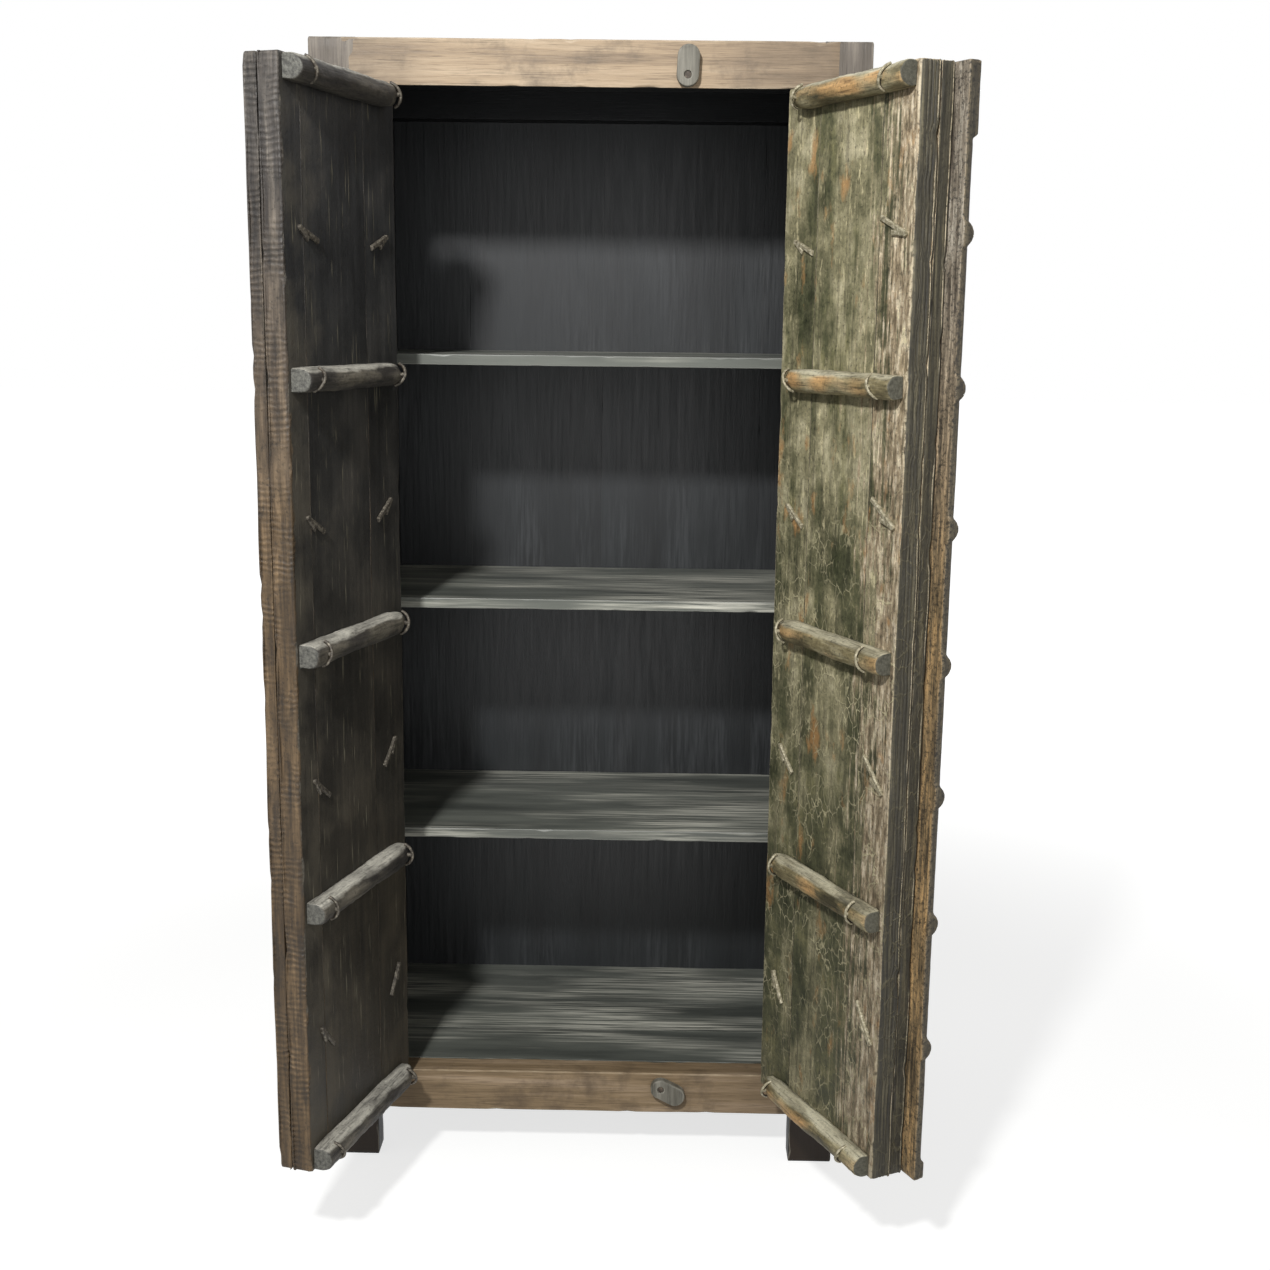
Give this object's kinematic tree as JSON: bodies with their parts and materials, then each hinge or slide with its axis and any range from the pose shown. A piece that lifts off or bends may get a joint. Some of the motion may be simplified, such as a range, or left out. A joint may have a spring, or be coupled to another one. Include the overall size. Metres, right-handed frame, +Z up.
{
  "type": "wardrobe",
  "caption": "Free-standing wooden wardrobe with a framed case on post legs, fixed shelves and a pair of old studded plank doors held shut by turn buttons.",
  "frame": {"origin": "On the floor under the middle of the whole thing as stored, with the doors open.", "axes": "+Z up; +X to the right of someone who faces the doors; +Y from the front to the back."},
  "size_m": [1.0388, 0.879, 1.966],
  "materials": {
    "worn_brown_wood": "worn, waxed, satin",
    "dark_brown_wood": "dark stain, satin",
    "ebonised_wood": "black stain, dry streaks, matt",
    "smoked_door_wood": "old dark patina, matt",
    "old_painted_wood": "worn olive paint over bare wood, matt",
    "dark_button_wood": "dark stain, worn rims",
    "forged_iron": "hand forged, rusted and dulled"
  },
  "bodies": {
    "case": {"left_front_post": "dark_brown_wood", "left_rear_post": "dark_brown_wood", "left_top_side_rail": "ebonised_wood", "left_bottom_side_rail": "ebonised_wood", "left_side_boards": "ebonised_wood", "left_hinge_case_leaves": "forged_iron", "right_front_post": "dark_brown_wood", "right_rear_post": "dark_brown_wood", "right_top_side_rail": "ebonised_wood", "right_bottom_side_rail": "ebonised_wood", "right_side_boards": "ebonised_wood", "right_hinge_case_leaves": "forged_iron", "top_front_rail": "worn_brown_wood", "bottom_front_rail": "worn_brown_wood", "top_rear_rail": "ebonised_wood", "bottom_rear_rail": "ebonised_wood", "back_boards": "ebonised_wood", "top_boards": "ebonised_wood", "floor_boards": "ebonised_wood", "lower_shelf": "ebonised_wood", "middle_shelf": "ebonised_wood", "upper_shelf": "ebonised_wood", "shelf_cleats": "ebonised_wood", "hinge_pins": "forged_iron", "top_button_screw": "forged_iron", "bottom_button_screw": "forged_iron"},
    "left_door": {"left_door_hinge_plank": "smoked_door_wood", "left_door_middle_plank": "smoked_door_wood", "left_door_meeting_plank": "smoked_door_wood", "left_door_hinge_stile": "smoked_door_wood", "left_door_meeting_stile": "smoked_door_wood", "left_door_ledges": "smoked_door_wood", "left_batten_1": "smoked_door_wood", "left_batten_2": "smoked_door_wood", "left_batten_3": "smoked_door_wood", "left_batten_4": "smoked_door_wood", "left_batten_5": "smoked_door_wood", "left_door_studs": "forged_iron", "left_hinge_door_leaves": "forged_iron"},
    "right_door": {"right_door_hinge_plank": "old_painted_wood", "right_door_middle_plank": "old_painted_wood", "right_door_meeting_plank": "old_painted_wood", "right_door_hinge_stile": "old_painted_wood", "right_door_meeting_stile": "old_painted_wood", "right_door_ledges": "old_painted_wood", "right_batten_1": "old_painted_wood", "right_batten_2": "old_painted_wood", "right_batten_3": "old_painted_wood", "right_batten_4": "old_painted_wood", "right_batten_5": "old_painted_wood", "right_door_studs": "forged_iron", "right_hinge_door_leaves": "forged_iron", "right_batten_nails": "forged_iron", "right_door_cover_strip": "old_painted_wood"},
    "top_button": {"top_turn_button": "dark_button_wood"},
    "bottom_button": {"bottom_turn_button": "dark_button_wood"}
  },
  "joints": [
    {"name": "left_door_hinge", "type": "hinge", "parent": "case", "child": "left_door", "pos_m": [-0.4201, -0.0658, 1.031], "axis": [0, 0, -1], "range_deg": [-106.5, 58.5]},
    {"name": "right_door_hinge", "type": "hinge", "parent": "case", "child": "right_door", "pos_m": [0.3299, -0.0658, 1.031], "axis": [0, 0, 1], "range_deg": [-115.8, 49.2]},
    {"name": "top_button_pivot", "type": "hinge", "parent": "case", "child": "top_button", "pos_m": [0.1129, -0.0685, 1.911], "axis": [0, -1, 0], "continuous": true},
    {"name": "bottom_button_pivot", "type": "hinge", "parent": "case", "child": "bottom_button", "pos_m": [0.0959, -0.0685, 0.1455], "axis": [0, -1, 0], "continuous": true}
  ]
}
